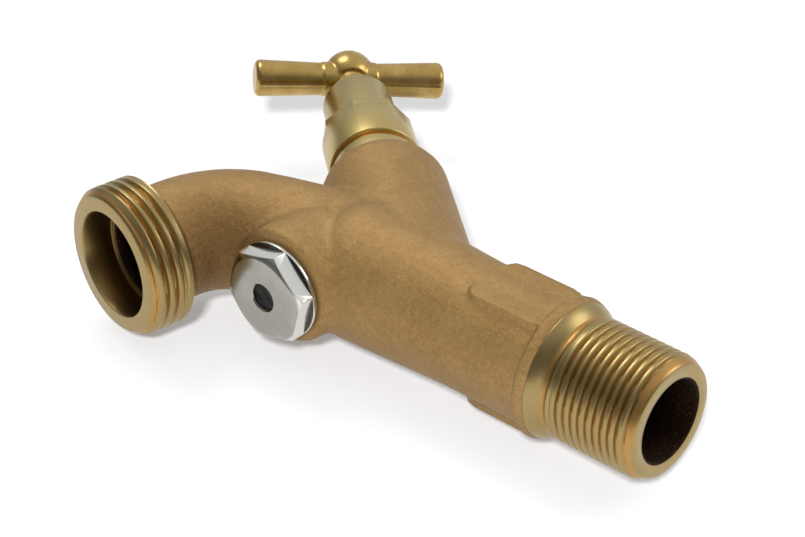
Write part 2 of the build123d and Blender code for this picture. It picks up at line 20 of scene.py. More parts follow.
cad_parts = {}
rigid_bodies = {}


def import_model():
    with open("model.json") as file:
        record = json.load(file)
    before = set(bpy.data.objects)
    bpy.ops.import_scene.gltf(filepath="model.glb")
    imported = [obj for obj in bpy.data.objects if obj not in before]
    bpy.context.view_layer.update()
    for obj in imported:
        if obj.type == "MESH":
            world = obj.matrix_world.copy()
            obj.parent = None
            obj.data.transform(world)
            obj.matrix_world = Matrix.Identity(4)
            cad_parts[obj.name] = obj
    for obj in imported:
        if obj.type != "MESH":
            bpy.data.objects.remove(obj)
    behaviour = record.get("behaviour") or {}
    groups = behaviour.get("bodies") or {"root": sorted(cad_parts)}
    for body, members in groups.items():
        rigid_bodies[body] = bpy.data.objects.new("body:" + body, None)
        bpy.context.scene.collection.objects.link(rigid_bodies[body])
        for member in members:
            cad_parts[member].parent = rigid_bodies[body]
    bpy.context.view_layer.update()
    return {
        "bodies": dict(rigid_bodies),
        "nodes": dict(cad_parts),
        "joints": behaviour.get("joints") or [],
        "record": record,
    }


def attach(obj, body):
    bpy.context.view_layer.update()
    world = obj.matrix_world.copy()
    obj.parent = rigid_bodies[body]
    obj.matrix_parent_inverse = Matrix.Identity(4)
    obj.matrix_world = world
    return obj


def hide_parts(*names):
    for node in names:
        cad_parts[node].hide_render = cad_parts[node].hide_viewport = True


log = logging.getLogger("bib_tap")
MM = 0.001


# Shader maths
def overload(operation: str, swapped: bool = False) -> Callable:
    """Makes an arithmetic operator that adds a Math node.

    Args:
        operation: the Math node's operation.
        swapped: True for the form with the socket on the right.

    Returns:
        The operator.
    """

    def operator(sock: "Sock", other: object) -> "Sock":
        """Adds the node and returns its result."""
        first, second = (other, sock) if swapped else (sock, other)
        return sock.graph.node("ShaderNodeMath", {"operation": operation}, {0: first, 1: second})

    return operator


class Sock:
    """A shader socket that takes part in Python arithmetic."""

    __add__, __radd__ = overload("ADD"), overload("ADD", True)
    __sub__, __rsub__ = overload("SUBTRACT"), overload("SUBTRACT", True)
    __mul__, __rmul__ = overload("MULTIPLY"), overload("MULTIPLY", True)
    __truediv__, __rtruediv__ = overload("DIVIDE"), overload("DIVIDE", True)

    def __init__(self, graph: "Nodes", socket: bpy.types.NodeSocket) -> None:
        """Keeps the node tree and the socket."""
        self.graph = graph
        self.socket = socket

    def step(self, low: float, high: float, first: float = 0.0, last: float = 1.0) -> "Sock":
        """Eases from one value to another.

        Args:
            low: where the change starts.
            high: where it ends.
            first: result on the side of low.
            last: result on the side of high.

        Returns:
            The eased value.
        """
        settings = {"interpolation_type": "SMOOTHSTEP"}
        inputs = {0: self, 1: low, 2: high, 3: first, 4: last}
        return self.graph.node("ShaderNodeMapRange", settings, inputs)


class Nodes:
    """A node tree whose nodes all come from one method."""

    def __init__(self, tree: bpy.types.NodeTree) -> None:
        """Empties the tree.

        Args:
            tree: the tree of a material or of the world.
        """
        self.tree = tree
        self.tree.nodes.clear()

    def node(self, kind: str, settings: dict, inputs: dict, output: object = 0) -> Sock:
        """Makes any node.

        Args:
            kind: the node's type.
            settings: properties that are set first.
            inputs: values or sockets by input name or number.
            output: name or number of the output that is returned.

        Returns:
            The chosen output.
        """
        made = self.tree.nodes.new(kind)
        for key, value in settings.items():
            setattr(made, key, value)
        for key, value in inputs.items():
            if isinstance(value, Sock):
                self.tree.links.new(value.socket, made.inputs[key])
            else:
                made.inputs[key].default_value = value
        return Sock(self, made.outputs[output])

    def source(self, kind: str, output: str) -> Sock:
        """Makes a node without inputs.

        Args:
            kind: the node's type.
            output: name of the output that is returned.

        Returns:
            The chosen output.
        """
        return self.node(kind, {}, {}, output)

    def vector(self, operation: str, first: Sock, second: tuple, output: str = "Value") -> Sock:
        """Adds a Vector Math node.

        Args:
            operation: what it does.
            first: socket.
            second: constant vector.
            output: "Value" or "Vector".

        Returns:
            The node's result.
        """
        settings = {"operation": operation}
        return self.node("ShaderNodeVectorMath", settings, {0: first, 1: tuple(second)}, output)

    def end(self, kind: str, shader: Sock) -> None:
        """Links a shader to the tree's output.

        Args:
            kind: type of the output node.
            shader: the last shader.
        """
        output = self.tree.nodes.new(kind)
        self.tree.links.new(shader.socket, output.inputs[0])


class Graph(Nodes):
    """The nodes of one material."""

    def __init__(self, name: str) -> None:
        """Makes an empty material.

        Args:
            name: the material's name.
        """
        self.material = bpy.data.materials.new(name)
        self.material.use_nodes = True
        super().__init__(self.material.node_tree)
        self.place = self.source("ShaderNodeTexCoord", "Object")

    def noise(
        self, size_mm: float, detail: float = 3.0, rough: float = 0.55, stretch: tuple = (1, 1, 1)
    ) -> Sock:
        """Noise with features of a given size.

        Args:
            size_mm: size of the features in millimetres.
            detail: octaves.
            rough: weight of the finer octaves.
            stretch: scale of the coordinates on each axis.

        Returns:
            The noise value, about 0.5 on average.
        """
        place = self.node("ShaderNodeMapping", {}, {"Vector": self.place, "Scale": stretch})
        scale = 1.0 / (size_mm * MM)
        inputs = {"Vector": place, "Scale": scale, "Detail": detail, "Roughness": rough}
        return self.node("ShaderNodeTexNoise", {}, inputs, "Fac")

    def turned_place(self, axle: "Axle") -> tuple:
        """Height along an axis and radius from it, in millimetres.

        Args:
            axle: the axis.

        Returns:
            The height and the radius.
        """
        dot = self.vector("DOT_PRODUCT", self.place, axle.along)
        gap = self.vector("SUBTRACT", self.place, axle.origin, "Vector")
        across = self.vector("CROSS_PRODUCT", gap, axle.along, "Vector")
        radius = self.vector("LENGTH", across, (0, 0, 0)) / MM
        return (dot - axle.along.dot(axle.origin)) / MM, radius

    def near(self, point: Vector, inner_mm: float, outer_mm: float) -> Sock:
        """1 close to a point, 0 away from it.

        Args:
            point: centre in metres.
            inner_mm: radius up to which it is 1.
            outer_mm: radius from which it is 0.

        Returns:
            The mask.
        """
        gap = self.vector("DISTANCE", self.place, point)
        return (gap / MM).step(outer_mm, inner_mm)

    def blend(self, amount: object, first: object, second: object) -> Sock:
        """Mixes two colours.

        Args:
            amount: 0 for the first, 1 for the second.
            first: colour or socket.
            second: colour or socket.

        Returns:
            The mixed colour.
        """
        pair = [value if isinstance(value, Sock) else (*value, 1.0) for value in (first, second)]
        inputs = {0: amount, 6: pair[0], 7: pair[1]}
        return self.node("ShaderNodeMix", {"data_type": "RGBA"}, inputs, 2)

    def bump(self, height: Sock, depth_mm: float, under: Sock | None = None) -> Sock:
        """Turns a height into a bumped normal.

        Args:
            height: value from 0 to 1.
            depth_mm: the height that 1 stands for.
            under: normal that this one is laid over.

        Returns:
            The normal.
        """
        inputs = {"Height": height, "Distance": depth_mm * MM, "Strength": 1.0}
        if under is not None:
            inputs["Normal"] = under
        return self.node("ShaderNodeBump", {}, inputs)

    def principled(self, **inputs: object) -> Sock:
        """Adds a Principled shader, its sockets named with _ for a space.

        Args:
            **inputs: colours, numbers or sockets.

        Returns:
            The shader.
        """
        values = {}
        for key, value in inputs.items():
            colour = isinstance(value, tuple) and len(value) == 3
            values[key.replace("_", " ")] = (*value, 1.0) if colour else value
        return self.node("ShaderNodeBsdfPrincipled", {}, values)

    def feed(self, **inputs: object) -> bpy.types.Material:
        """Ends the material in a Principled shader.

        Args:
            **inputs: as for principled().

        Returns:
            The material.
        """
        self.end("ShaderNodeOutputMaterial", self.principled(**inputs))
        return self.material


def linear(red: int, green: int, blue: int) -> tuple:
    """Linear colour of a screen colour.

    Args:
        red: 0 to 255.
        green: 0 to 255.
        blue: 0 to 255.

    Returns:
        Three linear values.
    """
    shares = [value / 255 for value in (red, green, blue)]
    return tuple(s / 12.92 if s <= 0.04045 else ((s + 0.055) / 1.055) ** 2.4 for s in shares)


# Frames
@dataclass(frozen=True)
class Axle:
    """A turning axis: heights run along it and radii start on one side of it."""

    origin_mm: tuple
    along: Vector
    radial: Vector

    @property
    def origin(self) -> Vector:
        """The axis's zero, in metres."""
        return Vector(self.origin_mm) * MM

    @property
    def side(self) -> Vector:
        """Direction of a quarter turn from where radii start."""
        return self.along.cross(self.radial)

    def point(self, radius: float, height: float, turn: float = 0.0) -> Vector:
        """A point by radius, height and turn.

        Args:
            radius: millimetres from the axis.
            height: millimetres along it.
            turn: angle round it, in radians.

        Returns:
            The point in metres.
        """
        out = self.radial * cos(turn) + self.side * sin(turn)
        return self.origin + (out * radius + self.along * height) * MM


def leaned(lean: float) -> tuple:
    """Directions along and across an axis that leans in the plane of symmetry.

    Args:
        lean: angle from upright towards the wall, in radians.

    Returns:
        The direction along the axis and the one across it.
    """
    return Vector((sin(lean), 0, cos(lean))), Vector((cos(lean), 0, -sin(lean)))


INLET = Axle((5.0, 0.0, 0.0), Vector((-1, 0, 0)), Vector((0, 0, 1)))
BONNET = Axle((-61.5, 0.0, 0.0), *leaned(radians(-51.0)))
OUTLET = Axle((-116.3, 0.0, -34.5), *leaned(radians(10.0)))
VENT = Axle((-83.7, 0.0, 0.0), Vector((0, 0, 1)), Vector((1, 0, 0)))


# Modelling
class Cut(Enum):
    """How one piece changes another."""

    TAKE_AWAY = "DIFFERENCE"
    ADD = "UNION"
    KEEP_COMMON = "INTERSECT"


class Bench:
    """The modelling steps that every piece is made with.

    Points closer than a merge distance become one, after a spin and in a node's copy.
    """

    spin_merge = 0.002 * MM
    copy_merge = 0.001 * MM

    @staticmethod
    def activate(piece: bpy.types.Object) -> None:
        """Selects one object alone and makes it active."""
        if bpy.context.mode != "OBJECT":
            bpy.ops.object.mode_set(mode="OBJECT")
        bpy.ops.object.select_all(action="DESELECT")
        piece.select_set(True)
        bpy.context.view_layer.objects.active = piece

    @classmethod
    @contextmanager
    def editing(cls, piece: bpy.types.Object) -> Iterator[None]:
        """Opens a piece in edit mode with all of it selected, and closes it afterwards."""
        cls.activate(piece)
        bpy.ops.object.mode_set(mode="EDIT")
        bpy.ops.mesh.select_all(action="SELECT")
        yield
        bpy.ops.object.mode_set(mode="OBJECT")

    @classmethod
    def turned(cls, name: str, axle: Axle, outline: list, steps: int = 128) -> bpy.types.Object:
        """Draws an outline by extruding a vertex and spins it round an axis.

        Args:
            name: the piece's name.
            axle: the axis.
            outline: (radius, height) pairs in millimetres; the last one is joined to the first.
            steps: faces round the piece.

        Returns:
            The closed piece.
        """
        bpy.ops.object.select_all(action="DESELECT")
        bpy.ops.mesh.primitive_plane_add(size=MM, location=(0, 0, 0))
        piece = bpy.context.object
        piece.name = name
        piece.data.name = name
        points = [axle.point(*place) for place in outline] + [axle.point(*outline[0])]
        with cls.editing(piece):
            bpy.ops.mesh.merge(type="CENTER")
            bpy.ops.transform.translate(value=points[0])
            for here, there in zip(points, points[1:]):
                bpy.ops.mesh.extrude_vertices_move(TRANSFORM_OT_translate={"value": there - here})
            bpy.ops.mesh.select_all(action="SELECT")
            bpy.ops.mesh.spin(steps=steps, angle=2 * pi, center=axle.origin, axis=axle.along)
            bpy.ops.mesh.select_all(action="SELECT")
            bpy.ops.mesh.remove_doubles(threshold=cls.spin_merge)
            bpy.ops.mesh.normals_make_consistent(inside=False)
        return piece

    @classmethod
    def apply(cls, piece: bpy.types.Object, kind: str, **settings: object) -> None:
        """Adds a modifier and applies it.

        Args:
            piece: the object.
            kind: the modifier's type.
            **settings: its properties.
        """
        cls.activate(piece)
        modifier = piece.modifiers.new(kind.lower(), kind)
        for key, value in settings.items():
            setattr(modifier, key, value)
        bpy.ops.object.modifier_apply(modifier=modifier.name)

    @classmethod
    def combine(cls, piece: bpy.types.Object, tool: bpy.types.Object, how: Cut) -> None:
        """Cuts or joins a piece with a tool, which is then deleted.

        Args:
            piece: the piece that stays.
            tool: the other one.
            how: the kind of cut.
        """
        cls.apply(piece, "BOOLEAN", operation=how.value, object=tool, solver="EXACT")
        bpy.data.objects.remove(tool, do_unlink=True)

    @classmethod
    def join(cls, piece: bpy.types.Object, other: bpy.types.Object) -> None:
        """Puts another closed shell into a piece that is about to be remeshed.

        Args:
            piece: the piece that stays.
            other: the shell.
        """
        cls.activate(piece)
        other.select_set(True)
        bpy.ops.object.join()

    @classmethod
    def soften(cls, piece: bpy.types.Object, width_mm: float, angle: float = 28.0) -> None:
        """Bevels the sharp edges and shades the piece smooth between them.

        Args:
            piece: the object.
            width_mm: width of the bevel.
            angle: edges sharper than this are bevelled.
        """
        cls.apply(
            piece,
            "BEVEL",
            width=width_mm * MM,
            segments=2,
            limit_method="ANGLE",
            angle_limit=radians(angle),
            use_clamp_overlap=True,
            harden_normals=False,
        )
        cls.smooth(piece)

    @classmethod
    def round_off(cls, piece: bpy.types.Object) -> None:
        """Shades the whole piece smooth."""
        cls.activate(piece)
        bpy.ops.object.shade_smooth()

    @classmethod
    def smooth(cls, piece: bpy.types.Object, angle: float = 40.0) -> None:
        """Shades smooth, but sharp at edges over an angle."""
        cls.activate(piece)
        bpy.ops.object.shade_smooth_by_angle(angle=radians(angle))

    @classmethod
    def copy_of(cls, node: bpy.types.Object, name: str) -> bpy.types.Object:
        """A copy of a frame node's mesh with its doubles merged.

        Args:
            node: the node's object.
            name: name of the copy.

        Returns:
            The copy.
        """
        piece = bpy.data.objects.new(name, node.data.copy())
        bpy.context.scene.collection.objects.link(piece)
        piece.data.materials.clear()
        with cls.editing(piece):
            bpy.ops.mesh.remove_doubles(threshold=cls.copy_merge)
        return piece

    @classmethod
    def trim(cls, piece: bpy.types.Object, place: Vector, outward: Vector) -> None:
        """Cuts off what lies beyond a plane and closes the cut.

        Args:
            piece: the object.
            place: a point on the plane, in metres.
            outward: direction of what is cut off.
        """
        with cls.editing(piece):
            bpy.ops.mesh.bisect(plane_co=place, plane_no=outward, use_fill=True, clear_outer=True)

    @classmethod
    def voxels(cls, piece: bpy.types.Object, size_mm: float) -> None:
        """Remeshes a piece into an even skin.

        Args:
            piece: the object.
            size_mm: size of the voxels.
        """
        cls.apply(piece, "REMESH", mode="VOXEL", voxel_size=size_mm * MM, adaptivity=0.0)

    @classmethod
    def smooth_places(cls, piece: bpy.types.Object, chosen: np.ndarray, rounds: int) -> None:
        """Relaxes chosen vertices.

        Args:
            piece: the object.
            chosen: True for each vertex that may move.
            rounds: how many times they are averaged with their neighbours.
        """
        cls.activate(piece)
        bpy.ops.object.mode_set(mode="EDIT")
        bpy.ops.mesh.select_mode(type="VERT")
        bpy.ops.mesh.select_all(action="DESELECT")
        bpy.ops.object.mode_set(mode="OBJECT")
        piece.data.vertices.foreach_set("select", chosen)
        bpy.ops.object.mode_set(mode="EDIT")
        bpy.ops.mesh.vertices_smooth(factor=0.5, repeat=rounds)
        bpy.ops.object.mode_set(mode="OBJECT")


class MeshData:
    """Vertices and edges of a mesh as arrays, for choosing and moving vertices."""

    neighbour_share = 0.2

    def __init__(self, piece: bpy.types.Object) -> None:
        """Reads the mesh."""
        self.mesh = piece.data
        self.places = self.read(self.mesh.vertices, "co", 3)
        self.normals = self.read(self.mesh.vertex_normals, "vector", 3)
        self.edges = self.read(self.mesh.edges, "vertices", 2, np.int64)

    @staticmethod
    def read(
        rows: bpy.types.bpy_prop_collection, name: str, width: int, kind: type = float
    ) -> np.ndarray:
        """One property of the vertices or edges, in a row for each.

        Args:
            rows: the vertices or edges.
            name: the property.
            width: how many numbers it has.
            kind: their type.

        Returns:
            The array.
        """
        values = np.empty(len(rows) * width, dtype=kind)
        rows.foreach_get(name, values)
        return values.reshape(-1, width)

    def spread(self, values: np.ndarray) -> np.ndarray:
        """Mean of the neighbours' values.

        Args:
            values: one row for each vertex.

        Returns:
            The means, in the same shape.
        """
        total = np.zeros_like(values, dtype=float)
        weight = np.zeros(len(self.places))
        for first, second in ((0, 1), (1, 0)):
            np.add.at(total, self.edges[:, first], values[self.edges[:, second]])
            np.add.at(weight, self.edges[:, first], 1.0)
        weight = np.maximum(weight, 1.0)
        return total / (weight[:, None] if values.ndim > 1 else weight)

    def hollows(self, depth_mm: float, rings: int) -> np.ndarray:
        """Vertices in and near inner corners.

        Args:
            depth_mm: how far the neighbours must stand out.
            rings: how many rings of neighbours are added.

        Returns:
            True for each such vertex.
        """
        rise = np.einsum("ij,ij->i", self.spread(self.places) - self.places, self.normals)
        chosen = rise > depth_mm * MM
        for _ in range(rings):
            chosen = chosen | (self.spread(chosen.astype(float)) > self.neighbour_share)
        return chosen

    def turned_places(self, axle: Axle) -> tuple:
        """Radius, height and turn of each vertex round an axis.

        Args:
            axle: the axis.

        Returns:
            Three arrays: millimetres, millimetres and radians.
        """
        gap = (self.places - np.array(axle.origin)) / MM
        across, beside = gap @ np.array(axle.radial), gap @ np.array(axle.side)
        return np.hypot(across, beside), gap @ np.array(axle.along), np.arctan2(beside, across)

    def set_radius(self, axle: Axle, radius: np.ndarray) -> None:
        """Moves each vertex to a new radius round an axis.

        Args:
            axle: the axis.
            radius: millimetres.
        """
        now, _, turn = self.turned_places(axle)
        way = np.outer(np.cos(turn), axle.radial) + np.outer(np.sin(turn), axle.side)
        self.places = self.places + way * ((radius - now) * MM)[:, None]
        self.write()

    def write(self) -> None:
        """Writes the places back into the mesh."""
        self.mesh.vertices.foreach_set("co", self.places.ravel())
        self.mesh.update()


# Finishes
@dataclass(frozen=True)
class CastBronze:
    """Blasted gunmetal casting: sand grain with painted glints and painted shade, coarse and with
    painted shade in the spout's hollow, painted shade in the bore.

    Lengths are in millimetres. A span is where a mask starts and where it is full, and
    hollow_place is a radius, a height and a turn on the outlet's axis.
    """

    light: tuple = linear(158, 127, 78)
    dark: tuple = linear(138, 107, 61)
    # painted highlight: the light colour of glints on the grain's high spots
    grain_glint: tuple = linear(196, 172, 124)
    # painted shade colour
    shade_brown: tuple = linear(88, 58, 28)
    # painted shade: near black for the inside of the bore
    bore: tuple = linear(46, 34, 24)
    cut: tuple = linear(164, 143, 98)
    mottle_mm: float = 11.0
    blotch_mm: float = 1.5
    grain_mm: float = 0.38
    pit_mm: float = 1.1
    tone_span: tuple = (0.25, 0.78)
    glint_span: tuple = (0.54, 0.74)
    glint_share: float = 0.4
    shade_span: tuple = (0.5, 0.24)
    shade_share: float = 0.35
    hollow_place: tuple = (13.5, 18.5, -0.25)
    hollow_radii: tuple = (4.0, 18.0)
    hollow_share: float = 0.6
    bore_span: tuple = (10.0, 9.2)
    bore_end_span: tuple = (68.0, 62.0)
    cut_span: tuple = (25.15, 24.75)
    roughness: float = 0.46
    grain_roughness: float = 0.2
    cut_roughness: float = 0.26
    pit_depth: float = 0.26
    grain_depth: float = 0.11
    metal: float = 0.66

    def material(self) -> bpy.types.Material:
        """Builds the material."""
        g = Graph("cast_bronze")
        mottle = g.noise(self.mottle_mm)
        blotch = g.noise(self.blotch_mm, rough=0.6)
        grain = g.noise(self.grain_mm, rough=0.6)
        pits = g.noise(self.pit_mm, rough=0.65)
        hollow = g.near(OUTLET.point(*self.hollow_place), *self.hollow_radii)
        depth, radius = g.turned_place(INLET)
        cut = depth.step(*self.cut_span)
        inside = radius.step(*self.bore_span) * depth.step(*self.bore_end_span)
        tone = (mottle * 0.45 + blotch * 0.55).step(*self.tone_span)
        skin = g.blend(tone, self.dark, self.light)
        # painted highlight: glints where the grain stands high
        skin = g.blend(grain.step(*self.glint_span) * self.glint_share, skin, self.grain_glint)
        # painted shade: darker in the spout's hollow and in the grain's low spots
        shade = hollow * self.hollow_share + grain.step(*self.shade_span) * self.shade_share
        skin = g.blend(shade, skin, self.shade_brown)
        # painted shade inside the inlet's bore
        skin = g.blend(inside, skin, self.bore)
        colour = g.blend(cut, skin, self.cut)
        cast = 1.0 - cut
        rough = (grain * self.grain_roughness + self.roughness) * cast + cut * self.cut_roughness
        coarse = g.bump(pits * (hollow * 2.0 + 0.3) * cast, self.pit_depth)
        normal = g.bump(grain * (1.0 - cut * 0.95), self.grain_depth, coarse)
        return g.feed(Base_Color=colour, Metallic=self.metal, Roughness=rough, Normal=normal)


@dataclass(frozen=True)
class TurnedMetal:
    """Metal from a lathe: fine rings, painted warm shade in a thread's groove, painted shade in a
    counterbore and in a cast bore.

    Lengths are in millimetres, and a radius of 0 leaves that part out.
    """

    name: str
    axle: Axle
    colour: tuple
    warm: tuple
    roughness: float = 0.2
    ring_mm: float = 0.16
    ring_depth_mm: float = 0.003
    stain: float = 0.25
    crest: float = 0.0
    root: float = 0.0
    groove_end: float = 100.0
    recess: float = 0.0
    bore: float = 0.0
    groove_shade_colour: tuple = linear(192, 138, 68)
    groove_shade_share: float = 0.75
    recess_colour: tuple = linear(120, 92, 54)
    recess_share: float = 0.6
    bore_shade_colour: tuple = linear(46, 34, 24)
    bore_roughness: float = 0.35
    bore_relief: float = 30.0

    def material(self) -> bpy.types.Material:
        """Builds the material."""
        g = Graph(self.name)
        height, radius = g.turned_place(self.axle)
        rings = {"W": (height + radius) / self.ring_mm, "Scale": 1.0, "Detail": 2.0}
        lines = g.node("ShaderNodeTexNoise", {"noise_dimensions": "1D"}, rings, "Fac")
        cloud = g.noise(7.0)
        tone = (cloud * 0.6 + lines * 0.4).step(0.3, 0.75)
        colour = g.blend(tone * self.stain, self.colour, self.warm)
        rough = cloud * 0.06 + lines * 0.05 + self.roughness
        relief = lines
        if self.crest:
            deep = radius.step(self.crest, self.root)
            deep = deep * radius.step(self.root - 1.2, self.root - 0.5)
            deep = deep * height.step(0.2, 0.6)
            deep = deep * height.step(self.groove_end + 0.3, self.groove_end)
            # painted shade with a warm glow of bounced light in the groove
            colour = g.blend(deep * self.groove_shade_share, colour, self.groove_shade_colour)
            rough = rough + deep * 0.08
        if self.recess:
            shaded = radius.step(self.recess + 0.2, self.recess) * height.step(0.2, 0.8)
            # painted shade in the counterbore
            colour = g.blend(shaded * self.recess_share, colour, self.recess_colour)
        if self.bore:
            grain = g.noise(0.6, rough=0.65)
            inside = radius.step(self.bore + 0.2, self.bore)
            # painted shade inside the bore, flecked lighter where the grain stands high
            speckled_bore_shade = g.blend(grain.step(0.5, 0.75) * 0.4, self.bore_shade_colour, self.recess_colour)
            colour = g.blend(inside, colour, speckled_bore_shade)
            rough = rough + inside * self.bore_roughness
            relief = lines * (1.0 - inside) + grain * inside * self.bore_relief
        normal = g.bump(relief, self.ring_depth_mm)
        return g.feed(Base_Color=colour, Metallic=1.0, Roughness=rough, Normal=normal)


@dataclass(frozen=True)
class ForgedBrass:
    """Satin brass of the handle, with a faint grain and a few pits."""

    colour: tuple = linear(196, 168, 104)
    warm: tuple = linear(172, 140, 80)
    pit: tuple = linear(84, 56, 24)
    pit_span: tuple = (0.76, 0.82)
    pit_share: float = 0.7
    pit_depth_mm: float = 0.03
    roughness: float = 0.24

    def material(self) -> bpy.types.Material:
        """Builds the material."""
        g = Graph("forged_brass")
        cloud = g.noise(4.5, rough=0.5)
        grain = g.noise(0.4, rough=0.6)
        pits = g.noise(0.9, 1.0, 0.5).step(*self.pit_span)
        colour = g.blend((cloud * 0.6 + grain * 0.4).step(0.3, 0.72), self.warm, self.colour)
        colour = g.blend(pits * self.pit_share, colour, self.pit)
        rough = grain * 0.08 + pits * 0.2 + self.roughness
        normal = g.bump(grain * 0.04 - pits, self.pit_depth_mm)
        return g.feed(Base_Color=colour, Metallic=1.0, Roughness=rough, Normal=normal)


@dataclass(frozen=True)
class Stainless:
    """Bright stainless steel with a faint drawn grain."""

    colour: tuple = linear(184, 182, 175)
    dark: tuple = linear(166, 163, 154)
    roughness: float = 0.14
    drawn_roughness: float = 0.08
    drawn_depth_mm: float = 0.002

    @staticmethod
    def patterns(g: Graph) -> tuple:
        """The drawn grain and the cloudiness of a steel.

        Args:
            g: the material's nodes.

        Returns:
            Both noises.
        """
        return g.noise(0.6, 2.0, 0.5, (1.0, 1.0, 7.0)), g.noise(5.0, 2.0)

    def material(self) -> bpy.types.Material:
        """Builds the material."""
        g = Graph("stainless")
        drawn, cloud = self.patterns(g)
        colour = g.blend((drawn * 0.4 + cloud * 0.6).step(0.3, 0.75), self.dark, self.colour)
        return self.polished(g, colour, drawn)

    def polished(self, g: Graph, colour: Sock, drawn: Sock) -> bpy.types.Material:
        """Ends a steel's material.

        Args:
            g: the material's nodes.
            colour: its colour.
            drawn: its drawn grain.

        Returns:
            The material.
        """
        rough = drawn * self.drawn_roughness + self.roughness
        normal = g.bump(drawn, self.drawn_depth_mm)
        return g.feed(Base_Color=colour, Metallic=1.0, Roughness=rough, Normal=normal)


@dataclass(frozen=True)
class PlugSteel(Stainless):
    """Steel of the vent plug: ground face, flats with a painted highlight, a flange with a painted
    dark reflection and a rim in the face's colour.

    Heights are from the vent's zero and in millimetres, as the radius is.
    """

    face_height: float = 0.0
    flange_height: float = 0.0
    rim_radius: float = 0.0
    ground: tuple = linear(168, 166, 157)
    # painted highlight of the flats
    bright: tuple = linear(224, 223, 218)
    # painted dark reflection of the flange, also the colour that the stain leans to
    stain_and_dark_reflection: tuple = linear(84, 82, 76)
    roughness: float = 0.16
    drawn_roughness: float = 0.06

    def material(self) -> bpy.types.Material:
        """Builds the material."""
        g = Graph("plug_steel")
        drawn, cloud = self.patterns(g)
        height, radius = g.turned_place(VENT)
        flats = height.step(self.face_height + 0.35, self.face_height + 0.75)
        flange = height.step(self.flange_height - 0.12, self.flange_height - 0.02)
        rim = radius.step(self.rim_radius - 0.22, self.rim_radius - 0.1)
        stain = (cloud * 0.7 + drawn * 0.3).step(0.3, 0.75) * 0.25
        colour = g.blend(stain, self.ground, self.stain_and_dark_reflection)
        # painted highlight on the flats
        colour = g.blend(flats, colour, self.bright)
        # painted dark reflection on the flange's face; its rim keeps the face's colour
        colour = g.blend(flange * (1.0 - rim), colour, self.stain_and_dark_reflection)
        return self.polished(g, colour, drawn)


@dataclass(frozen=True)
class SoftStuff:
    """Rubber, fibre or plastic: not a metal, lightly mottled."""

    name: str
    colour: tuple
    other: tuple
    roughness: float
    grain_mm: float

    def material(self) -> bpy.types.Material:
        """Builds the material."""
        g = Graph(self.name)
        grain = g.noise(self.grain_mm, 4.0, 0.6)
        cloud = g.noise(self.grain_mm * 8.0)
        colour = g.blend((grain * 0.5 + cloud * 0.5).step(0.3, 0.7), self.colour, self.other)
        rough = grain * 0.1 + self.roughness
        return g.feed(Base_Color=colour, Roughness=rough, Normal=g.bump(grain, 0.02))


# Sub-assemblies
@dataclass(frozen=True)
class Thread:
    """A cut pipe thread, in millimetres."""

    major_radius: float
    pitch: float
    start: float
    end: float
    foot_radius: float
    lead_length: float
    floor_radius: float
    face_clear: float = 0.05
    depth_share: float = 0.44
    crest_share: float = 0.3
    rows_per_pitch: int = 14

    def outline(self) -> list:
        """Outline along the thread, which widens from its foot to its full radius."""
        length = self.end - self.start
        count = int(round(length / self.pitch * self.rows_per_pitch))
        heights = [self.start + length * row / count for row in range(count + 1)]
        rise = self.major_radius - self.foot_radius
        return [(self.foot_radius + rise * min(1.0, h / self.lead_length), h) for h in heights]

    def cut(self, piece: bpy.types.Object, axle: Axle) -> None:
        """Presses the helical groove into a turned piece, outside of the floor radius.

        Args:
            piece: the turned piece.
            axle: its axis.
        """
        data = MeshData(piece)
        radius, height, turn = data.turned_places(axle)
        phase = (height / self.pitch - turn / (2 * pi)) % 1.0
        flank = np.clip((0.5 - np.abs(phase - 0.5)) * 2.0, 0.0, 1.0)
        flank = np.clip((flank - self.crest_share) / (1.0 - self.crest_share), 0.0, 1.0)
        groove = flank * flank * (3.0 - 2.0 * flank)
        run_out = np.clip((self.end - height) / self.pitch, 0.0, 1.0)
        depth = self.depth_share * self.pitch * groove * run_out
        threaded = (radius > self.floor_radius) & (height > self.face_clear)
        threaded = threaded & (height < self.end)
        wanted = np.where(threaded, np.minimum(radius, self.major_radius - depth), radius)
        data.set_radius(axle, wanted)


